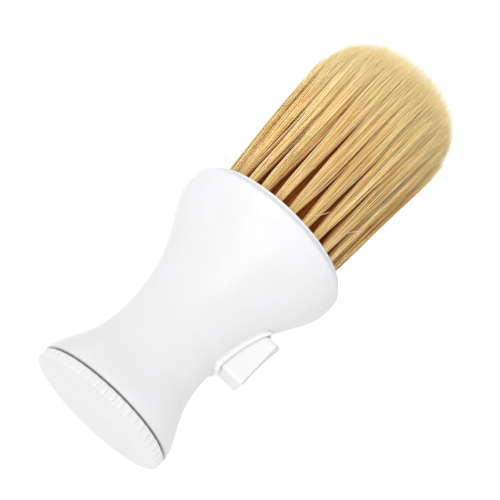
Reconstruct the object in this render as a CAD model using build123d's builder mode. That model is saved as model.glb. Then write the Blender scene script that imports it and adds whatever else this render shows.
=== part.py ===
from build123d import *
import os

os.makedirs("parts", exist_ok=True)

# Powder-dispensing neck duster, standing on its screw cap. The origin is the middle of the cap's flat end
# face, +Z runs up the handle's axis to the tips of the bristle, and the push button faces +X.
# All sizes are in millimetres.

# ---- driving dimensions -------------------------------------------------------------------------------

# Outside of the handle, as (radius, height) stations from the foot, over the waist, to the shoulder.
foot = (28.0, 4.4)
handle_stations = [
    foot,
    (25.4, 11.9),
    (21.1, 21.5),
    (19.1, 37.1),
    (21.0, 52.7),
    (26.3, 66.4),
    (32.6, 78.1),
    (33.9, 86.9),
]
handle_wall = 2.4
mouth_z = 90.4                 # top edge of the handle, where the tuft plate's flange sits
mouth_outer_radius = 31.9
mouth_radius = 29.5            # snap lip that the tuft plate is pushed through
mouth_lip_height = 2.2

# Screw cap and its thread.
cap_flange_height = 3.6
cap_root_radius = 27.2
lobe_count = 48
lobe_radius = 1.25
lobe_circle = 26.75
cap_edge_round = 1.0
foot_bore_radius = 24.0
foot_bore_top = 11.2
skirt_radius = 22.5
skirt_wall = 2.2
skirt_top = 10.2
thread_pitch = 3.2
thread_depth = 1.2
thread_crest = 0.8
thread_root = 1.3
male_thread_z = 5.4
thread_bite = 0.3              # how far a ridge is sunk into the wall it stands on

# Flat seal between the cap's flange and the foot.
seal_inner_radius = 24.0
seal_outer_radius = 26.3
seal_bottom = 3.7
seal_top = 4.3

# Tuft plate.
plate_bottom = 82.0
plate_top = 91.7
plate_radius = 29.4
flange_radius = 31.3
flange_edge_round = 0.4
bead_height = 0.7
bead_margin = 0.5              # from the bead up to the lip that it snaps behind
plate_bore = 3.9

# Tufts: how many stand in each ring, and the radius of the ring.
tuft_rings = {
    "outer": (24, 24.3),
    "second": (18, 18.5),
    "third": (12, 12.65),
    "core": (6, 6.6),
}
tuft_root_radius = 1.85
tuft_hole_radius = 1.95
tuft_hole_floor = 83.7
tuft_flare_z = 115.0
tuft_flare_radius = 2.7
tuft_tip_radius = 3.0
tuft_splay = 0.00152           # how much a ring of tufts widens for each millimetre above the plate
dome_radius = 29.6
dome_centre_z = 153.3
tip_z = 175.0

# Metal anchors across the floors of the tuft holes.
staple_length = 3.8
staple_height = 1.6
staple_thickness = 0.3
staple_z = 84.6

# Push button and the collar round it.
button_bottom = 41.0
button_top = 61.0
button_width = 13.5
button_corner = 1.6
button_face_bottom_x = 29.8
button_face_middle_x = 29.7
button_face_top_x = 30.8
button_edge_round = 1.1
button_wall = 1.6
button_gap = 0.15
button_back_lift = 0.1         # clearance between the button's back edge and the slider's frame
cut_depth = 30.0               # longer than any cut that starts behind the button
collar_band = 2.0
collar_foot = 2.4
collar_proud = 1.7
collar_round = 0.8

# Cam slider behind the button: its frame leans with the handle's wall.
frame_low_x = 15.1
frame_high_x = 19.7
frame_thickness = 1.6
frame_width = 12.8
tab_length = 2.2
ramp_slope = 0.6               # valve travel for each unit of button travel
ramp_clearance = 0.15
fork_gap = 6.4
fork_arm = 2.0
fork_tip_x = -4.0
fork_ramp_end_x = 7.0
fork_rise = 6.5
fork_drop = 6.0
fork_gap_height = 26.0
fork_gap_shift = 2.0           # the gap stops this far short of the frame and runs past the arms' tips
tongue_width = 9.0
tongue_reach_x = 26.5
tongue_margin = 3.5
tongue_lean = 2.0

# Valve.
rod_radius = 2.5
rod_bottom = 21.2
rod_shoulder = 72.5
rod_tip_radius = 1.1
rod_tip_z = 97.2
rod_chamfer = 0.5
rod_tip_chamfer = 0.3
pin_radius = 1.2
pin_length = 12.0
pin_chamfer = 0.25
pin_z = 51.0
running_clearance = 0.08
seat_bottom = (7.7, 74.0)
seat_top = (2.9, 80.0)
seat_clearance = 0.25
nozzle_top = 97.0
nozzle_wall = 1.0
nozzle_edge_round = 0.5
nozzle_cup_radius = 9.2
web_bottom = 93.5
web_height = 2.0
web_hub_radius = 1.9
web_width = 0.9
web_bite = 0.5                 # how far each arm of the web is sunk into what it joins
plug_shoulder_z = 74.6
plug_top = 79.2
plug_chamfer = 1.0
clip_radius = 2.3
clip_height = 0.7

# Spring, its collar and the guide at the bottom of the rod.
guide_bottom = 23.0
guide_top = 28.0
guide_low_radius = 18.0
guide_high_radius = 17.2
guide_rim = 2.0
guide_hub_radius = 5.2
guide_spoke = 2.0
spoke_inset = 1.0              # the spokes are this much thinner than the hub at top and bottom
spring_wire = 0.8
spring_radius = 3.9
spring_turns = 5
spring_end_gap = 0.05          # between the wire and what it presses on, so that the solids stay apart
collar_bottom = 43.6
collar_height = 1.8
collar_radius = 5.0
collar_edge_round = 0.4


# ---- shapes that several pieces share -----------------------------------------------------------------

def handle_outside(proud=0.0):
    """The handle's outside as a solid of revolution, stood proud of its surface by the given amount."""
    stations = [(radius + proud, height) for radius, height in handle_stations]
    with BuildPart() as outside:
        with BuildSketch(Plane.XZ):
            with BuildLine():
                side = Spline(*stations, tangents=((-0.12, 1), (0, 1)))
                shoulder = TangentArc(side @ 1, (mouth_outer_radius + proud, mouth_z), tangent=side % 1)
                Polyline(shoulder @ 1, (0, mouth_z), (0, foot[1]), side @ 0)
            make_face()
        revolve(axis=Axis.Z)
    return outside.part


def handle_cavity():
    """The powder space and the mouth above it, out to the inner face of the handle's wall."""
    stations = [(radius - handle_wall, height) for radius, height in handle_stations[1:]]
    with BuildPart() as cavity:
        with BuildSketch(Plane.XZ):
            with BuildLine():
                wall = Spline(*stations, tangents=((-0.55, 1), (0, 1)))
                Polyline(
                    wall @ 1,
                    (mouth_radius, mouth_z - mouth_lip_height),
                    (mouth_radius, mouth_z),
                    (0, mouth_z),
                    (0, foot[1]),
                    (foot_bore_radius, foot[1]),
                    (foot_bore_radius, foot_bore_top),
                    wall @ 0,
                )
            make_face()
        revolve(axis=Axis.Z)
    return cavity.part


def thread_ridge(wall_radius, crest_radius, start_z):
    """One right-handed turn of trapezoid thread, from the wall it stands on to its crest."""
    outward = 1 if crest_radius > wall_radius else -1
    sunk = -outward * thread_bite
    with BuildPart() as ridge:
        with BuildLine() as path:
            Helix(pitch=thread_pitch, height=thread_pitch, radius=wall_radius, center=(0, 0, start_z))
        turn = path.line
        with BuildSketch(Plane(origin=turn @ 0, x_dir=(1, 0, 0), z_dir=turn % 0)):
            with BuildLine():
                Polyline(
                    (sunk, -thread_root / 2),
                    (crest_radius - wall_radius, -thread_crest / 2),
                    (crest_radius - wall_radius, thread_crest / 2),
                    (sunk, thread_root / 2),
                    close=True,
                )
            make_face()
        sweep(path=turn, is_frenet=True)
    return ridge.part


def bristle_limit():
    """Everything under the domed outline that the bristle tips are trimmed to."""
    with BuildPart() as limit:
        with BuildSketch(Plane.XZ):
            with BuildLine():
                dome = EllipticalCenterArc(
                    (0, dome_centre_z), dome_radius, tip_z - dome_centre_z, start_angle=0, arc_size=90
                )
                Polyline(dome @ 1, (0, tuft_hole_floor), (dome_radius, tuft_hole_floor), dome @ 0)
            make_face()
        revolve(axis=Axis.Z)
    return limit.part


def one_tuft(ring_radius, limit):
    """A tuft on the +X side: its root in the hole, then the bundle flaring out to the trimmed tips."""
    with BuildPart() as tuft:
        with BuildSketch(Plane.XY.offset(tuft_hole_floor)):
            with Locations((ring_radius, 0)):
                Circle(tuft_root_radius)
        extrude(amount=plate_top - tuft_hole_floor)
        for height, radius in (
            (plate_top, tuft_root_radius),
            (tuft_flare_z, tuft_flare_radius),
            (tip_z + 1, tuft_tip_radius),
        ):
            with BuildSketch(Plane.XY.offset(height)):
                with Locations((ring_radius * (1 + tuft_splay * (height - plate_top)), 0)):
                    Circle(radius)
        loft(ruled=True)
        add(limit, mode=Mode.INTERSECT)
        with Locations((ring_radius, 0, staple_z)):
            Box(
                staple_thickness,
                staple_length,
                staple_height,
                align=(Align.CENTER, Align.CENTER, Align.MIN),
                mode=Mode.SUBTRACT,
            )
    return tuft.part


# ---- handle -------------------------------------------------------------------------------------------

collar_limit = handle_outside(collar_proud)
cavity = handle_cavity()
female_ridge = thread_ridge(
    foot_bore_radius, foot_bore_radius - thread_depth, male_thread_z + thread_pitch / 2
)
button_height = button_top - button_bottom
button_mid_z = (button_top + button_bottom) / 2

with BuildPart() as collar:
    with BuildSketch(Plane.YZ.offset(frame_low_x)):
        with Locations((0, button_mid_z + (collar_band - collar_foot) / 2)):
            RectangleRounded(
                button_width + 2 * collar_band,
                button_height + collar_band + collar_foot,
                button_corner + collar_band,
            )
    extrude(amount=cut_depth)
    add(collar_limit, mode=Mode.INTERSECT)
    fillet(collar.faces().sort_by(Axis.X)[-1].edges(), collar_round)

with BuildPart() as handle_shell:
    add(handle_outside())
    add(collar.part)
    add(cavity, mode=Mode.SUBTRACT)
    add(female_ridge)
    with BuildSketch(Plane.YZ.offset(frame_low_x - frame_thickness)):
        with Locations((0, button_mid_z)):
            RectangleRounded(
                button_width + 2 * button_gap, button_height + 2 * button_gap, button_corner + button_gap
            )
    extrude(amount=cut_depth + frame_thickness, mode=Mode.SUBTRACT)

# ---- screw cap and seal -------------------------------------------------------------------------------

male_ridge = thread_ridge(skirt_radius, skirt_radius + thread_depth, male_thread_z)
cap_radius = lobe_circle + lobe_radius

with BuildPart() as base_cap:
    with BuildSketch():
        Circle(cap_root_radius)
        with PolarLocations(lobe_circle, lobe_count):
            Circle(lobe_radius)
    extrude(amount=cap_flange_height)
    with BuildSketch(Plane.XZ):
        with Locations((0, cap_flange_height / 2)):
            RectangleRounded(2 * cap_radius, cap_flange_height, cap_edge_round)
        Rectangle(4 * cap_radius, 4 * cap_radius, align=(Align.MAX, Align.CENTER), mode=Mode.SUBTRACT)
    revolve(axis=Axis.Z, mode=Mode.INTERSECT)
    with BuildSketch(Plane.XY.offset(cap_flange_height)):
        Circle(skirt_radius)
        Circle(skirt_radius - skirt_wall, mode=Mode.SUBTRACT)
    extrude(amount=skirt_top - cap_flange_height)
    add(male_ridge)

with BuildPart() as cap_seal:
    with BuildSketch(Plane.XY.offset(seal_bottom)):
        Circle(seal_outer_radius)
        Circle(seal_inner_radius, mode=Mode.SUBTRACT)
    extrude(amount=seal_top - seal_bottom)

# ---- tuft plate ---------------------------------------------------------------------------------------

with BuildPart() as tuft_plate:
    with BuildSketch(Plane.XZ):
        with BuildLine():
            bead_z = mouth_z - mouth_lip_height - bead_margin
            Polyline(
                (plate_bore, plate_bottom),
                (plate_radius, plate_bottom),
                (plate_radius, bead_z - 2 * bead_height),
                (plate_radius + bead_height, bead_z - bead_height),
                (plate_radius, bead_z),
                (plate_radius, mouth_z),
                (flange_radius, mouth_z),
                (flange_radius, plate_top),
                (plate_bore, plate_top),
                close=True,
            )
        make_face()
    revolve(axis=Axis.Z)
    top_circles = tuft_plate.edges().filter_by(GeomType.CIRCLE).group_by(Axis.Z)[-1]
    fillet(top_circles.sort_by(SortBy.RADIUS)[-1], flange_edge_round)
    with BuildSketch(Plane.XY.offset(plate_top)):
        for count, ring_radius in tuft_rings.values():
            with PolarLocations(ring_radius, count):
                Circle(tuft_hole_radius)
    extrude(amount=tuft_hole_floor - plate_top, mode=Mode.SUBTRACT)

# ---- tufts and their anchors, ring by ring ------------------------------------------------------------

bristle_outline = bristle_limit()
for ring_name, (count, ring_radius) in tuft_rings.items():
    tuft = one_tuft(ring_radius, bristle_outline)
    with BuildPart() as tufts:
        with PolarLocations(0, count):
            add(tuft)
    tufts.part.label = f"{ring_name}_tufts"
    export_step(tufts.part, f"parts/{ring_name}_tufts.step")

    with BuildPart() as staples:
        with Locations((0, 0, staple_z)):
            with PolarLocations(ring_radius, count):
                Box(
                    staple_thickness,
                    staple_length,
                    staple_height,
                    align=(Align.CENTER, Align.CENTER, Align.MIN),
                )
    staples.part.label = f"{ring_name}_staples"
    export_step(staples.part, f"parts/{ring_name}_staples.step")

# ---- powder outlet ------------------------------------------------------------------------------------

bore = seat_top[0]

with BuildPart() as outlet_nozzle:
    with BuildSketch(Plane.XZ):
        with BuildLine():
            Polyline(
                seat_bottom,
                (nozzle_cup_radius, seat_bottom[1]),
                (nozzle_cup_radius, plate_bottom),
                (bore + nozzle_wall, plate_bottom),
                (bore + nozzle_wall, nozzle_top),
                (bore, nozzle_top),
                seat_top,
                close=True,
            )
        make_face()
    revolve(axis=Axis.Z)
    fillet(outlet_nozzle.edges().group_by(Axis.Z)[-1].sort_by(SortBy.RADIUS)[-1], nozzle_edge_round)
    with BuildSketch(Plane.XY.offset(web_bottom)):
        Circle(web_hub_radius)
        with PolarLocations((bore + web_hub_radius) / 2, 3):
            Rectangle(bore - web_hub_radius + 2 * web_bite, web_width)
        Circle(rod_tip_radius + running_clearance, mode=Mode.SUBTRACT)
    extrude(amount=web_height)

# ---- button and cam slider ----------------------------------------------------------------------------

with BuildPart() as push_button:
    with BuildSketch(Plane.YZ.offset(frame_low_x)):
        with Locations((0, button_mid_z)):
            RectangleRounded(button_width, button_height, button_corner)
    extrude(amount=cut_depth)
    with BuildSketch(Plane.XZ):
        with BuildLine():
            face_arc = ThreePointArc(
                (button_face_bottom_x, button_bottom),
                (button_face_middle_x, button_mid_z),
                (button_face_top_x, button_top),
            )
            Polyline(
                face_arc @ 1,
                (frame_high_x + button_back_lift, button_top),
                (frame_low_x + button_back_lift, button_bottom),
                face_arc @ 0,
            )
        make_face()
    extrude(amount=button_width, both=True, mode=Mode.INTERSECT)
    fillet(push_button.faces().sort_by(Axis.X)[-1].edges(), button_edge_round)
    with BuildSketch(Plane.YZ.offset(frame_low_x)):
        with Locations((0, button_mid_z)):
            Rectangle(button_width - 2 * button_wall, button_height - 2 * button_wall)
    extrude(amount=button_face_bottom_x - button_wall - frame_low_x, mode=Mode.SUBTRACT)

ramp_above_pin = pin_radius * (1 + ramp_slope**2) ** 0.5 + ramp_clearance


def ramp_z(x):
    """Height of the ramp's underside over a place on the X axis, with the button at rest."""
    return pin_z + ramp_above_pin - ramp_slope * x


with BuildPart() as cam_slider:
    with BuildSketch(Plane.XZ):
        with BuildLine():
            Polyline(
                (frame_low_x, button_bottom - tab_length),
                (frame_low_x, button_bottom),
                (frame_high_x, button_top),
                (frame_high_x, button_top + tab_length),
                (frame_high_x - frame_thickness, button_top + tab_length),
                (frame_high_x - frame_thickness, button_top),
                (frame_low_x - frame_thickness, button_bottom),
                (frame_low_x - frame_thickness, button_bottom - tab_length),
                close=True,
            )
        make_face()
    extrude(amount=frame_width / 2, both=True)
    with BuildSketch(Plane.XZ):
        with BuildLine():
            Polyline(
                (fork_tip_x, ramp_z(fork_tip_x)),
                (fork_ramp_end_x, ramp_z(fork_ramp_end_x)),
                (frame_low_x, pin_z - fork_drop),
                (frame_high_x - frame_thickness, pin_z + fork_rise),
                (fork_tip_x, pin_z + fork_rise),
                close=True,
            )
        make_face()
    extrude(amount=fork_gap / 2 + fork_arm, both=True)
    with BuildSketch(Plane.XZ):
        with Locations(((fork_tip_x + frame_low_x) / 2 - fork_gap_shift, pin_z)):
            Rectangle(frame_low_x - fork_tip_x - fork_gap_shift, fork_gap_height)
    extrude(amount=fork_gap / 2, both=True, mode=Mode.SUBTRACT)
    with BuildSketch(Plane.XZ):
        with BuildLine():
            Polyline(
                (frame_low_x, button_bottom + tongue_margin),
                (tongue_reach_x, button_bottom + tongue_margin),
                (tongue_reach_x, button_top - tongue_margin),
                (frame_low_x + tongue_lean, button_top - tongue_margin),
                close=True,
            )
        make_face()
    extrude(amount=tongue_width / 2, both=True)

# ---- valve --------------------------------------------------------------------------------------------

with BuildPart() as valve_rod:
    with BuildSketch(Plane.XY.offset(rod_bottom)):
        Circle(rod_radius)
    extrude(amount=rod_shoulder - rod_bottom)
    with BuildSketch(Plane.XY.offset(rod_shoulder)):
        Circle(rod_tip_radius)
    extrude(amount=rod_tip_z - rod_shoulder)
    chamfer(valve_rod.edges().group_by(Axis.Z)[0], rod_chamfer)
    chamfer(valve_rod.edges().group_by(Axis.Z)[-1], rod_tip_chamfer)
    with BuildSketch(Plane.XZ):
        with Locations((0, pin_z)):
            Circle(pin_radius)
    extrude(amount=2 * rod_radius, both=True, mode=Mode.SUBTRACT)

with BuildPart() as follower_pin:
    with BuildSketch(Plane.XZ):
        with Locations((0, pin_z)):
            Circle(pin_radius)
    extrude(amount=pin_length / 2, both=True)
    chamfer(follower_pin.edges().filter_by(GeomType.CIRCLE), pin_chamfer)

seat_slope = (seat_bottom[0] - seat_top[0]) / (seat_top[1] - seat_bottom[1])


def plug_radius(height):
    """The plug's cone, parallel to the seat and a little inside it."""
    return seat_bottom[0] - seat_slope * (height - seat_bottom[1]) - seat_clearance


with BuildPart() as valve_plug:
    with BuildSketch(Plane.XZ):
        with BuildLine():
            Polyline(
                (rod_tip_radius, rod_shoulder),
                (plug_radius(plug_shoulder_z) - plug_chamfer, rod_shoulder),
                (plug_radius(plug_shoulder_z), rod_shoulder + plug_chamfer),
                (plug_radius(plug_shoulder_z), plug_shoulder_z),
                (plug_radius(plug_top), plug_top),
                (rod_tip_radius, plug_top),
                close=True,
            )
        make_face()
    revolve(axis=Axis.Z)

with BuildPart() as plug_clip:
    with BuildSketch(Plane.XY.offset(plug_top)):
        Circle(clip_radius)
        Circle(rod_tip_radius, mode=Mode.SUBTRACT)
    extrude(amount=clip_height)

with BuildPart() as spring_collar:
    with BuildSketch(Plane.XY.offset(collar_bottom)):
        Circle(collar_radius)
        Circle(rod_radius, mode=Mode.SUBTRACT)
    extrude(amount=collar_height)
    fillet(spring_collar.edges().group_by(Axis.Z)[-1].sort_by(SortBy.RADIUS)[-1], collar_edge_round)

spring_height = collar_bottom - guide_top - spring_wire - 2 * spring_end_gap
spring_pitch = spring_height / spring_turns

with BuildPart() as valve_spring:
    with BuildLine() as coil:
        Helix(
            pitch=spring_pitch,
            height=spring_height,
            radius=spring_radius,
            center=(0, 0, guide_top + spring_wire / 2 + spring_end_gap),
        )
    with BuildSketch(Plane(origin=coil.line @ 0, z_dir=coil.line % 0)):
        Circle(spring_wire / 2)
    sweep(path=coil.line, is_frenet=True)

with BuildPart() as rod_guide:
    with BuildSketch(Plane.XZ):
        with BuildLine():
            Polyline(
                (guide_low_radius - guide_rim, guide_bottom),
                (guide_low_radius, guide_bottom),
                (guide_high_radius, guide_top),
                (guide_high_radius - guide_rim, guide_top),
                close=True,
            )
        make_face()
        with Locations((guide_hub_radius / 2, (guide_bottom + guide_top) / 2)):
            Rectangle(guide_hub_radius, guide_top - guide_bottom)
    revolve(axis=Axis.Z)
    with BuildSketch(Plane.XY.offset(guide_bottom + spoke_inset)):
        with PolarLocations(guide_high_radius / 2, 3, start_angle=60):
            Rectangle(guide_high_radius - guide_rim, guide_spoke)
    extrude(amount=guide_top - guide_bottom - 2 * spoke_inset)
    with BuildSketch(Plane.XY.offset(guide_bottom)):
        Circle(rod_radius + running_clearance)
    extrude(amount=guide_top - guide_bottom, mode=Mode.SUBTRACT)

# ---- files --------------------------------------------------------------------------------------------

pieces = {
    "handle_shell": handle_shell,
    "base_cap": base_cap,
    "cap_seal": cap_seal,
    "tuft_plate": tuft_plate,
    "outlet_nozzle": outlet_nozzle,
    "push_button": push_button,
    "cam_slider": cam_slider,
    "valve_rod": valve_rod,
    "follower_pin": follower_pin,
    "valve_plug": valve_plug,
    "plug_clip": plug_clip,
    "spring_collar": spring_collar,
    "valve_spring": valve_spring,
    "rod_guide": rod_guide,
}
for name, piece in pieces.items():
    piece.part.label = name
    export_step(piece.part, f"parts/{name}.step")
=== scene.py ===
import math

import bpy
import numpy as np
from mathutils import Matrix, Vector


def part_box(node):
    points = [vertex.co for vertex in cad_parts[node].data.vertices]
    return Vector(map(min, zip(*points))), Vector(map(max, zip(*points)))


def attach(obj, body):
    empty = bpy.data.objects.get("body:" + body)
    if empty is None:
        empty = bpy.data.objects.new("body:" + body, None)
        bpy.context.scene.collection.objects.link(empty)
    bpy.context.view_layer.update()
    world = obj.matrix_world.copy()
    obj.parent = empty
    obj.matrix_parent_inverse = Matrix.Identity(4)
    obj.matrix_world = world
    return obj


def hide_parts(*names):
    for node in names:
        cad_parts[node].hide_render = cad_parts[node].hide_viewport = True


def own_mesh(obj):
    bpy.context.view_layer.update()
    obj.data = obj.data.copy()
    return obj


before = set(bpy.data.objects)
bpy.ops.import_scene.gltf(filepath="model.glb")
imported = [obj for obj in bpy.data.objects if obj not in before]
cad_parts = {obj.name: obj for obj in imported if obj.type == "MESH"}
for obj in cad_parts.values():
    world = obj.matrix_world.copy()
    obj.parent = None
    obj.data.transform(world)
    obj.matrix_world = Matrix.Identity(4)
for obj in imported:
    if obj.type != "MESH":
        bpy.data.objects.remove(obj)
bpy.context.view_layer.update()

# A powder-dispensing neck duster: white moulded handle, knurled filling cap, thumb button in its collar,
# and sixty tufts of straw-blond bristle trimmed to a dome. Everything is in metres.

MM = 0.001

# ---- places read off the frame ---------------------------------------------------------------------------

plate_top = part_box("tuft_plate")[1].z
tip_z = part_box("core_tufts")[1].z
head_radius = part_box("outer_tufts")[1].x
handle_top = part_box("handle_shell")[1].z
button_low, button_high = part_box("push_button")
ring_of_staples = {name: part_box(f"{name}_staples")[1].x for name in ("outer", "second", "third", "core")}

button_mid_z = (button_low.z + button_high.z) / 2
button_half_z = (button_high.z - button_low.z) / 2

# The handle's wall near the button follows a parabola from its waist.
waist_z = 37.1 * MM
waist_radius = 19.1 * MM
waist_lean = 0.0193
waist_flare = 9.05

# Where the colour of the handle and the button changes, for painted shade and a painted highlight. Each
# change starts at the first value and is complete at the second.
rim_shade_band = (1.9 * MM, 1.5 * MM)              # down from the handle's top
collar_proud = (0.5 * MM, 1.1 * MM)             # out from the handle's wall
collar_front = (12 * MM, 13 * MM)               # along X
collar_bottom = (37 * MM, 38 * MM)
collar_top = (64 * MM, 65 * MM)
slot_outside = (0.45 * MM, 0.6 * MM)            # out from the button's edges
edge_shade_band = (0.75 * MM, 0.45 * MM)              # in from the button's two long edges
thumb_face = (28.7 * MM, 29.1 * MM)             # along X

# How strongly the moulded plastic's relief shows.
spark_grain = 0.05
flow_waves = 0.6

# ---- the bristle head's own sizes -------------------------------------------------------------------------

tufts_in_ring = {"outer": 24, "second": 18, "third": 12, "core": 6}
strands_in_tuft = {"outer": 330, "second": 230, "third": 150, "core": 120}
root_radius = {"outer": 1.4 * MM, "second": 1.75 * MM, "third": 1.9 * MM, "core": 1.9 * MM}
flare_radius = 2.95 * MM
tip_radius = 4.05 * MM
ring_splay = 1.52               # how much a ring widens, as a share for each metre above the plate
dome_height = 21.7 * MM
side_radius = 26.8 * MM         # the head's outline just above the plate, widening to the dome's own radius
side_rise = 52 * MM
strand_half = 0.15 * MM
head_lean = -1.1 * MM            # how far the head bends away from the button by its widest place
rings_along_strand = 11
locks_in_tuft = 9
golden_angle = math.pi * (3 - math.sqrt(5))
tuft_seed = 24
stray_count = 16


# ---- shader writing ---------------------------------------------------------------------------------------

class Socket:
    """A shader output that can be written into arithmetic."""

    def __init__(self, tree, out):
        self.tree = tree
        self.out = out

    def math(self, operation, *others):
        values = {0: self, **dict(enumerate(others, 1))}
        return self.tree.add("ShaderNodeMath", {"operation": operation}, values)

    def __add__(self, other):
        return self.math("ADD", other)

    def __mul__(self, other):
        return self.math("MULTIPLY", other)

    def __sub__(self, other):
        return self.math("SUBTRACT", other)

    def __truediv__(self, other):
        return self.math("DIVIDE", other)

    def __pow__(self, other):
        return self.math("POWER", other)

    def __rsub__(self, other):
        return self * -1 + other

    __radd__ = __add__

    def clamped(self):
        return self.tree.add("ShaderNodeClamp", {}, {"Value": self})

    def between(self, low, high):
        """0 at the low value, 1 at the high one and smooth in between."""
        settings = {"interpolation_type": "SMOOTHSTEP"}
        values = {"Value": self, "From Min": low, "From Max": high}
        return self.tree.add("ShaderNodeMapRange", settings, values)


class Material:
    """A procedural material built round one Principled shader."""

    def __init__(self, name):
        self.data = bpy.data.materials.new(name)
        self.data.use_nodes = True
        self.nodes = self.data.node_tree.nodes
        self.links = self.data.node_tree.links
        self.shader = self.nodes["Principled BSDF"]

    def add(self, kind, settings, values, out=0):
        """Adds a node with its settings, then the values or links of its sockets, and gives one output."""
        node = self.nodes.new(kind)
        for key, value in settings.items():
            setattr(node, key, value)
        for key, value in values.items():
            self.feed(node.inputs[key], value)
        return Socket(self, node.outputs[out])

    def feed(self, target, value):
        if isinstance(value, Socket):
            self.links.new(value.out, target)
        else:
            target.default_value = value

    def set(self, **values):
        """Feeds the Principled shader's sockets, named with underscores for spaces."""
        for key, value in values.items():
            self.feed(self.shader.inputs[key.replace("_", " ")], value)

    def place(self):
        return self.add("ShaderNodeTexCoord", {}, {}, "Object")

    def stretched(self, scale):
        return self.add("ShaderNodeMapping", {}, {"Vector": self.place(), "Scale": scale})

    def noise(self, scale, detail, roughness, vector=None):
        values = {"Vector": vector or self.place(), "Scale": scale, "Detail": detail, "Roughness": roughness}
        return self.add("ShaderNodeTexNoise", {"normalize": True}, values)

    def axes(self):
        """The piece's own X, Y and Z."""
        node = self.nodes.new("ShaderNodeSeparateXYZ")
        self.feed(node.inputs[0], self.place())
        return [Socket(self, out) for out in node.outputs]

    def mix(self, factor, a, b):
        settings = {"data_type": "RGBA", "clamp_factor": True}
        return self.add("ShaderNodeMix", settings, {0: factor, 6: a, 7: b}, 2)

    def bump(self, height, strength, distance):
        return self.add("ShaderNodeBump", {}, {"Height": height, "Strength": strength, "Distance": distance})


def grey(level, cool=0.0):
    """A grey of the given level, with a little blue over it if cool."""
    return (level, level, level + cool, 1.0)


def moulded_white(name, body, tint, roughness, patches=None):
    """Satin injection-moulded plastic: faint clouding, fine spark-eroded grain, a little flow waviness.
    patches changes the colour in places."""
    m = Material(name)
    cloud = m.noise(38.0, 4.0, 0.6)
    speck = m.noise(2600.0, 2.0, 0.5)
    flow = m.noise(110.0, 2.0, 0.5)
    relief = speck * spark_grain + flow * flow_waves
    colour = m.mix(cloud.between(0.35, 0.7), body, tint)
    if patches:
        colour = patches(m, colour)
    m.set(
        Base_Color=colour,
        Roughness=roughness + (cloud - 0.5) * 0.10 + (speck - 0.5) * 0.08,
        Normal=m.bump(relief, 0.35, 0.06 * MM),
        IOR=1.46,
        Coat_Weight=0.12,
        Coat_Roughness=0.32,
    )
    return m.data


def handle_patches(m, colour):
    """A band of painted shade under the bristle, a painted highlight on the collar standing proud of the
    wall, and a dark line of painted shade in the slot round the button."""
    x, y, z = m.axes()
    # Painted shade of the bristle on the handle, in a ragged band just under its top.
    height = z + (m.noise(420.0, 2.0, 0.5) - 0.5) * 1.1 * MM
    rim_shade = height.between(handle_top - rim_shade_band[0], handle_top - rim_shade_band[1])
    colour = m.mix(rim_shade, colour, rim_shade_grey)
    above_waist = z - waist_z
    wall = (above_waist * waist_flare - waist_lean) * above_waist + waist_radius
    proud = ((x * x + y * y) ** 0.5 - wall).between(*collar_proud)
    near_button = x.between(*collar_front) * (1 - z.between(*collar_top)) * z.between(*collar_bottom)
    # Painted highlight on the collar where it stands proud of the wall beside the button.
    colour = m.mix(proud * near_button, colour, grey(0.91))
    # Painted shade: a dark line in the slot round the button.
    past_side = y.math("ABSOLUTE") - button_high.y
    past_end = (z - button_mid_z).math("ABSOLUTE") - button_half_z
    slot_shade = 1 - past_side.math("MAXIMUM", past_end).between(*slot_outside)
    return m.mix(slot_shade * near_button, colour, grey(0.42))


def button_patches(m, colour):
    """Painted shade in grey along the two long edges of the thumb face."""
    x, y, z = m.axes()
    edge_shade = y.math("ABSOLUTE").between(button_high.y - edge_shade_band[0], button_high.y - edge_shade_band[1])
    return m.mix(edge_shade * x.between(*thumb_face), colour, grey(0.66))


def soft_rubber(name, body, tint):
    m = Material(name)
    dust = m.noise(420.0, 4.0, 0.65)
    m.set(
        Base_Color=m.mix(dust.between(0.4, 0.75), body, tint),
        Roughness=0.62 + (dust - 0.5) * 0.2,
        Normal=m.bump(dust, 0.3, 0.05 * MM),
        IOR=1.5,
    )
    return m.data


def drawn_metal(name, body, tint):
    m = Material(name)
    draw = m.noise(700.0, 3.0, 0.6, m.stretched((1.0, 1.0, 0.08)))
    m.set(
        Base_Color=m.mix(draw, body, tint),
        Metallic=1.0,
        Roughness=0.24 + draw * 0.2,
        Normal=m.bump(draw, 0.2, 0.02 * MM),
    )
    return m.data


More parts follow.
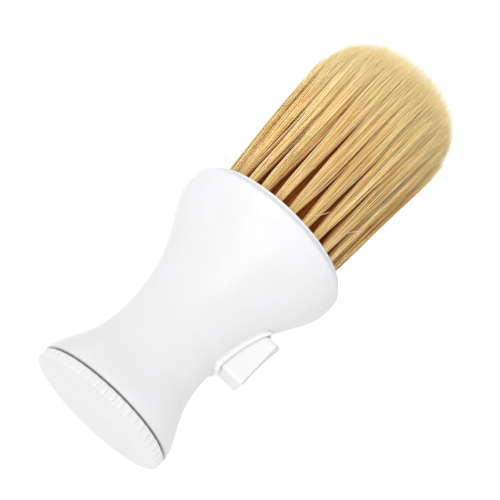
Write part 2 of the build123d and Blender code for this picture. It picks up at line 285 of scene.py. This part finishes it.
def bristle_fibre(name):
    """Straw-blond fibre. Each strand has its own tone, streaked along its length and pale towards the tip;
    the fibre hidden inside a tuft, and all of it down between the roots, gets a painted red-brown shade."""
    m = Material(name)
    x, y, z = m.axes()
    rise = (z - plate_top) / (tip_z - plate_top)
    across = (x * x + y * y) ** 0.5
    tone = m.add("ShaderNodeAttribute", {"attribute_name": "tone"}, {}, "Fac")
    along = m.add("ShaderNodeAttribute", {"attribute_name": "along"}, {}, "Fac")
    inner_shade = m.add("ShaderNodeAttribute", {"attribute_name": "inner_shade"}, {}, "Fac")
    streak = m.noise(1.0, 3.0, 0.6, m.stretched((700.0, 700.0, 45.0)))
    light = (tone * 0.85 + (streak - 0.5) * 0.5 + 0.06).clamped()

    straw = m.mix(light.between(0.0, 0.45), dark_straw, mid_straw)
    straw = m.mix(light.between(0.4, 1.0), straw, pale_straw)
    straw = m.mix(along.between(0.70, 1.0) * 0.7, straw, tip_cream)

    # Painted shade: fibre deep inside the head's outline, low down near the plate, goes red-brown.
    outline = (head_radius - 4.0 * MM) + rise * 3.0 * MM
    buried_shade = ((outline - across) / (4.0 * MM)).between(0.0, 1.0)
    low = 1 - rise.between(0.15, 1.0)
    straw = m.mix(buried_shade * low * 0.9, straw, root_shade_brown)
    # Painted shade: fibre hidden behind its tuft's outward face goes red-brown, less so towards the tip.
    straw = m.mix(inner_shade * (1 - along.between(0.62, 0.97)) * 0.9, straw, inner_shade_brown)
    m.set(Base_Color=straw, Roughness=0.46 + streak * 0.16, Specular_IOR_Level=0.18)
    return m.data


# The rim grey and the root and inner browns are painted shade.
rim_shade_grey = (0.69, 0.71, 0.76, 1)
dark_straw = (0.50, 0.20, 0.03, 1)
mid_straw = (0.84, 0.58, 0.21, 1)
pale_straw = (0.95, 0.81, 0.50, 1)
tip_cream = (0.97, 0.83, 0.45, 1)
root_shade_brown = (0.36, 0.05, 0.004, 1)
inner_shade_brown = (0.60, 0.17, 0.016, 1)


# ---- mesh making ------------------------------------------------------------------------------------------

def mesh_object(name, points, sides, material, **values):
    """An object from its points and its faces (arrays of corner numbers), with one value per point for each
    named attribute."""
    mesh = bpy.data.meshes.new(name)
    corners = np.concatenate([f.reshape(-1) for f in sides])
    totals = np.concatenate([np.full(len(f), f.shape[1]) for f in sides])
    mesh.vertices.add(len(points))
    mesh.vertices.foreach_set("co", np.asarray(points, np.float32).reshape(-1))
    mesh.loops.add(len(corners))
    mesh.loops.foreach_set("vertex_index", corners.astype(np.int32))
    mesh.polygons.add(len(totals))
    starts = np.concatenate([[0], np.cumsum(totals)[:-1]])
    mesh.polygons.foreach_set("loop_start", starts.astype(np.int32))
    mesh.polygons.foreach_set("loop_total", totals.astype(np.int32))
    mesh.polygons.foreach_set("use_smooth", np.full(len(totals), True))
    mesh.update(calc_edges=True)
    mesh.validate()
    for key, value in values.items():
        layer = mesh.attributes.new(key, "FLOAT", "POINT")
        layer.data.foreach_set("value", np.asarray(value, np.float32).reshape(-1))
    mesh.materials.append(material)
    piece = bpy.data.objects.new(name, mesh)
    bpy.context.scene.collection.objects.link(piece)
    return piece


def tubes(paths, widths, sides, beside=(0.31, 0.95, 0.02)):
    """Points and faces of closed tubes. paths is (tubes, rings, 3) and widths (tubes, rings). No tube may run
    along beside."""
    many, rings = paths.shape[:2]
    along = np.gradient(paths, axis=1)
    along /= np.linalg.norm(along, axis=2, keepdims=True)
    across = np.cross(along, beside)
    across /= np.linalg.norm(across, axis=2, keepdims=True)
    other = np.cross(along, across)
    turn = np.arange(sides) * 2 * math.pi / sides
    spokes = (
        across[:, :, None] * np.cos(turn)[None, None, :, None]
        + other[:, :, None] * np.sin(turn)[None, None, :, None]
    )
    points = paths[:, :, None] + spokes * widths[:, :, None, None]
    number = np.arange(many * rings * sides).reshape(many, rings, sides)
    after = np.roll(number, -1, axis=2)
    walls = np.stack([number[:, :-1], after[:, :-1], after[:, 1:], number[:, 1:]], axis=-1).reshape(-1, 4)
    ends = np.concatenate([number[:, 0, ::-1], number[:, -1]])
    return points.reshape(-1, 3), [walls, ends]


def dome_z(x, y):
    """Height of the trimmed dome over a place."""
    share = np.clip(np.hypot(x, y) / head_radius, 0, 0.995)
    return tip_z - dome_height + dome_height * (1 - share**2.4) ** 0.5


def smooth(t):
    t = np.clip(t, 0, 1)
    return t * t * (3 - 2 * t)


def tuft_paths(ring_radius, bearing, count, root, rng):
    """The lines of one tuft's strands, bunched in the hole, flaring to the head and trimmed at the dome, with
    how far each hides behind its tuft's outward face and the tone of the lock it belongs to."""
    turn = np.arange(count) * golden_angle + rng.uniform(0, 2 * math.pi)
    reach = np.sqrt((np.arange(count) + 0.5) / count)
    disc = np.stack([reach * np.cos(turn), reach * np.sin(turn)], axis=1) + rng.normal(0, 0.05, (count, 2))
    locks = rng.normal(0, 0.58, (locks_in_tuft, 2))
    nearest = np.argmin(((disc[:, None] - locks[None]) ** 2).sum(-1), axis=1)
    pull = rng.uniform(0.30, 0.62)
    flare_over = rng.uniform(26, 44) * MM
    lean = rng.normal(0, 0.45, 2) * MM
    wave = rng.normal(0, 0.22, (count, 2)) * MM
    beat = rng.uniform(0.7, 1.5, (count, 1))
    stray = rng.normal(0, 0.45, (count, 2)) * MM * (1 + 2 * (rng.random((count, 1)) < 0.03))

    out = np.array([math.cos(bearing), math.sin(bearing)])
    full_rise = tip_z - plate_top
    at_tip = out * ring_radius * (1 + ring_splay * full_rise) + lean + disc * tip_radius
    short = np.abs(rng.normal(0, 2.6, count)) * MM
    short = short + (rng.random(count) < 0.16) * rng.uniform(1, 11, count) * MM
    top = dome_z(at_tip[:, 0], at_tip[:, 1]) - short
    low = plate_top - 1.5 * MM
    u = np.linspace(0, 1, rings_along_strand) ** 1.15
    z = low + (top - low)[:, None] * u
    height = np.clip(z - plate_top, 0, None)
    opened = np.clip(height / flare_over, 0, 1) ** 0.9
    spread = root + (flare_radius - root) * opened
    spread = spread + (tip_radius - flare_radius) * smooth(height / full_rise)
    drawn = (pull * smooth(height / (30 * MM)) * (1 - 0.9 * smooth(height / full_rise)))[..., None]
    flat = disc[:, None] * (1 - drawn) + locks[nearest][:, None] * drawn
    share = (height / full_rise)[..., None]
    centre = out * ring_radius * (1 + ring_splay * height[..., None]) + lean * share
    xy = centre + flat * spread[..., None] + wave[:, None] * np.sin(beat[:, None] * 6.28 * share)
    xy = xy + stray[:, None] * share**1.5
    far = np.hypot(xy[..., 0], xy[..., 1])
    limit = side_radius + (head_radius - side_radius) * np.clip(height / side_rise, 0, 1) ** 2
    limit = limit * (1.035 - 0.15 * rng.beta(2, 3, (count, 1)))
    xy *= np.minimum(1, limit / far)[..., None]
    leaned = 0.25 * np.clip(height / (8 * MM), 0, 1) + 0.75 * np.clip(height / side_rise, 0, 1)
    xy[..., 0] += head_lean * leaned
    hidden = np.clip(0.35 - 0.9 * disc @ out, 0, 1)
    return np.concatenate([xy, z[..., None]], axis=-1), hidden, rng.uniform(0, 1, locks_in_tuft)[nearest]


def make_tuft(name, ring, bearing, rng, material):
    """One tuft as a mesh of its strands."""
    count = strands_in_tuft[ring]
    radius = ring_of_staples[ring] - 0.15 * MM
    paths, hidden, lock_tone = tuft_paths(radius, bearing, count, root_radius[ring], rng)
    # The inner rings show only through gaps, so all their fibre takes the painted shade.
    if ring != "outer":
        hidden = np.ones(count)
    u = np.linspace(0, 1, rings_along_strand)
    taper = np.interp(u, [0, 0.1, 0.75, 1], [0.90, 1.0, 0.80, 0.16])
    widths = strand_half * taper[None] * rng.uniform(0.7, 1.3, (count, 1))
    points, faces = tubes(paths, widths, 3)
    tone = np.clip(0.84 * rng.beta(1.1, 0.85, count) + 0.22 * lock_tone, 0, 1)
    corners = rings_along_strand * 3
    values = {
        "tone": np.repeat(tone, corners),
        "inner_shade": np.repeat(smooth(hidden), corners),
        "along": np.tile(np.repeat(u, 3), count),
    }
    return mesh_object(name, points, faces, material, **values)


def stray_hairs(count, rng, material):
    """A few short broken hairs caught across the gaps just above the plate."""
    bearing = (np.arange(count) + rng.uniform(0, 0.8, count)) * 2 * math.pi / count
    lowest = rng.uniform(2, 15, count) * MM
    length = rng.uniform(3.5, 9.5, count) * MM
    slant = rng.choice([-1, 1], count) * rng.uniform(0.2, 0.85, count)
    bow = rng.normal(0, 0.5, count) * MM
    u = np.linspace(0, 1, 9)[None]
    round_way = (slant * length)[:, None] * u + bow[:, None] * np.sin(math.pi * u)
    turn = bearing[:, None] + round_way / side_radius
    radius = side_radius - 0.4 * MM + 0.9 * MM * u
    z = plate_top + lowest[:, None] + (length * np.sqrt(1 - slant**2))[:, None] * u
    paths = np.stack([radius * np.cos(turn), radius * np.sin(turn), z], axis=-1)
    widths = 0.12 * MM * np.interp(u, [0, 0.5, 1], [0.8, 1, 0.5]).repeat(count, axis=0)
    points, faces = tubes(paths, widths, 4)
    return mesh_object("stray_hairs", points, faces, material)


def pale_hair(name):
    """The bleached, slightly pink fibre of the stray hairs."""
    m = Material(name)
    streak = m.noise(1.0, 3.0, 0.6, m.stretched((900.0, 900.0, 200.0)))
    m.set(Base_Color=m.mix(streak, (0.86, 0.60, 0.40, 1), (0.96, 0.82, 0.64, 1)), Roughness=0.5)
    return m.data


# ---- making the head --------------------------------------------------------------------------------------

fibre = bristle_fibre("bristle_fibre")
rng = np.random.default_rng(tuft_seed)
for ring, many in tufts_in_ring.items():
    for k in range(many):
        tuft = make_tuft(f"{ring}_tuft_{k + 1:02d}", ring, 2 * math.pi * k / many, rng, fibre)
        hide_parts(f"{ring}_tufts")
        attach(tuft, "handle")

strays = stray_hairs(stray_count, rng, pale_hair("pale_hair"))
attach(strays, "handle")

# ---- the valve's spring as a coil of fixed length; the real one shortens as the valve opens --------------

spring_low, spring_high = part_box("valve_spring")
spring_wire = 0.4 * MM
spring_turns = 5
turned = np.linspace(0, spring_turns, spring_turns * 40)
coil_radius = spring_high.x - spring_wire
coil_path = np.stack(
    [
        coil_radius * np.cos(2 * math.pi * turned),
        coil_radius * np.sin(2 * math.pi * turned),
        np.linspace(spring_low.z + spring_wire, spring_high.z - spring_wire, len(turned)),
    ],
    axis=-1,
)
coil_points, coil_faces = tubes(coil_path[None], np.full((1, len(turned)), spring_wire), 12, beside=(0, 0, 1))
coil_metal = drawn_metal("coil_steel", grey(0.60), grey(0.72))
coil = mesh_object("valve_coil", coil_points, coil_faces, coil_metal)
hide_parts("valve_spring")
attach(coil, "handle")
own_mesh(coil)

# ---- finishes of the moulded, rubber and metal pieces -----------------------------------------------------

finishes = {
    "handle_shell": moulded_white(
        "handle_white", grey(0.79, cool=0.012), grey(0.82, cool=0.016), 0.40, patches=handle_patches
    ),
    "base_cap": moulded_white("cap_white", grey(0.81), grey(0.84), 0.40),
    "push_button": moulded_white("button_white", grey(0.87), grey(0.90), 0.36, patches=button_patches),
    "tuft_plate": moulded_white("plate_white", (0.74, 0.75, 0.77, 1), (0.80, 0.81, 0.83, 1), 0.38),
    # The nozzle is painted a dark brown shade so that it reads as shade where it shows between the tufts.
    "outlet_nozzle": moulded_white("nozzle_shade_brown", (0.30, 0.13, 0.05, 1), (0.36, 0.17, 0.07, 1), 0.45),
    "cap_seal": soft_rubber("seal_grey", (0.27, 0.26, 0.24, 1), (0.40, 0.39, 0.37, 1)),
    "valve_plug": soft_rubber("plug_grey", grey(0.35), grey(0.42)),
    "follower_pin": drawn_metal("pin_steel", grey(0.56), grey(0.68)),
    "plug_clip": drawn_metal("clip_steel", grey(0.56), grey(0.68)),
}
natural = moulded_white("natural_plastic", grey(0.68), grey(0.74), 0.5)
brass = drawn_metal("staple_brass", (0.72, 0.50, 0.20, 1), (0.83, 0.62, 0.30, 1))
for ring in tufts_in_ring:
    finishes[f"{ring}_staples"] = brass
for name in ("cam_slider", "rod_guide", "valve_rod", "spring_collar"):
    finishes[name] = natural
for name, finish in finishes.items():
    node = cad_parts[name]
    node.data.materials.clear()
    node.data.materials.append(finish)
    node.data.shade_smooth()
    node.data.set_sharp_from_angle(angle=math.radians(38))

# ---- camera -----------------------------------------------------------------------------------------------

look_up = math.radians(18.25)          # the view is from below the foot, looking up the handle
roll = math.radians(45.9)
aim = Vector((-1.19 * MM, 0, 81.1 * MM))
distance = 781 * MM
forward = Vector((0, math.cos(look_up), math.sin(look_up)))
level = Vector((1, 0, 0))
rising = Vector((0, -math.sin(look_up), math.cos(look_up)))
image_right = level * math.sin(roll) + rising * math.cos(roll)
image_up = -level * math.cos(roll) + rising * math.sin(roll)
lens = bpy.data.cameras.new("camera")
lens.sensor_width = 36
lens.lens = 158
lens.clip_start = 0.05
lens.clip_end = 20
camera = bpy.data.objects.new("camera", lens)
camera.matrix_world = Matrix(
    [
        [image_right[i], image_up[i], -forward[i], (aim - forward * distance)[i]]
        for i in range(3)
    ]
    + [[0, 0, 0, 1]]
)
bpy.context.scene.collection.objects.link(camera)
bpy.context.scene.camera = camera

# ---- floor and light --------------------------------------------------------------------------------------

def floor_paper():
    """Pale paper that fades away from the brush. It is seen from above only, so that the foot can be seen
    from below."""
    m = Material("floor_paper")
    fibre_grain = m.noise(60.0, 5.0, 0.6)
    m.set(Base_Color=m.mix(fibre_grain, grey(0.86), grey(0.89)), Roughness=0.85)
    under = m.add("ShaderNodeNewGeometry", {}, {}, "Backfacing")
    x, y, z = m.axes()
    gone = under.math("MAXIMUM", ((x * x + y * y) ** 0.5).between(0.12, 0.55))
    clear = m.add("ShaderNodeBsdfTransparent", {}, {})
    both = m.add("ShaderNodeMixShader", {}, {0: gone, 1: Socket(m, m.shader.outputs[0]), 2: clear})
    m.links.new(both.out, m.nodes["Material Output"].inputs["Surface"])
    return m.data


floor_half = 0.6
floor_z = -13.2 * MM            # below the cap when it is unscrewed
floor = mesh_object(
    "floor",
    [(x * floor_half, y * floor_half, floor_z) for x, y in ((-1, -1), (1, -1), (1, 1), (-1, 1))],
    [np.array([[0, 1, 2, 3]])],
    floor_paper(),
)
for ray in ("visible_diffuse", "visible_glossy", "visible_transmission", "visible_shadow"):
    setattr(floor, ray, False)


def aimed(name, lamp, spot, towards):
    """Hangs a lamp at a spot and points it."""
    holder = bpy.data.objects.new(name, lamp)
    holder.location = spot
    holder.rotation_mode = "QUATERNION"
    holder.rotation_quaternion = (towards - Vector(spot)).to_track_quat("-Z", "Y")
    bpy.context.scene.collection.objects.link(holder)


def soft_light(name, spot, size, power):
    """A square soft box aimed at the middle of the brush."""
    lamp = bpy.data.lights.new(name, "AREA")
    lamp.size = size
    lamp.energy = power
    aimed(name, lamp, spot, aim)


def head_light(name, spot, power):
    """A narrow spot that picks out the bristle and stays off the handle."""
    lamp = bpy.data.lights.new(name, "SPOT")
    lamp.energy = power
    lamp.spot_size = math.radians(13)
    lamp.spot_blend = 0.5
    lamp.shadow_soft_size = 0.035
    aimed(name, lamp, spot, head)


head = Vector((0, 0, plate_top + 0.62 * (tip_z - plate_top)))
soft_light("key", (-0.05, -0.90, -0.55), 0.7, 2.9)
soft_light("back", (-0.1, 1.0, 0.45), 0.8, 1.2)
head_light("head_front", (-0.20, -0.48, 0.28), 6.4)
head_light("head_back", (0.06, 0.52, 0.26), 5.4)

world = bpy.data.worlds.new("studio")
bpy.context.scene.world = world
world.use_nodes = True
tree = world.node_tree
sky = tree.nodes["Background"]
sky.inputs["Color"].default_value = (1, 1, 1, 1)
direction = tree.nodes.new("ShaderNodeTexCoord")
sides = tree.nodes.new("ShaderNodeSeparateXYZ")
dimmer = tree.nodes.new("ShaderNodeMapRange")       # a little less light comes from the button's side
for socket, value in (("From Min", -1), ("From Max", 1), ("To Min", 0.98), ("To Max", 0.86)):
    dimmer.inputs[socket].default_value = value
tree.links.new(direction.outputs["Generated"], sides.inputs[0])
tree.links.new(sides.outputs["X"], dimmer.inputs["Value"])
tree.links.new(dimmer.outputs[0], sky.inputs["Strength"])
backdrop = tree.nodes.new("ShaderNodeBackground")
backdrop.inputs["Color"].default_value = (1, 1, 1, 1)
backdrop.inputs["Strength"].default_value = 1.05
rays = tree.nodes.new("ShaderNodeLightPath")
chosen = tree.nodes.new("ShaderNodeMixShader")
tree.links.new(rays.outputs["Is Camera Ray"], chosen.inputs[0])
tree.links.new(sky.outputs[0], chosen.inputs[1])
tree.links.new(backdrop.outputs[0], chosen.inputs[2])
tree.links.new(chosen.outputs[0], tree.nodes["World Output"].inputs["Surface"])
bpy.context.scene.view_settings.view_transform = "Standard"
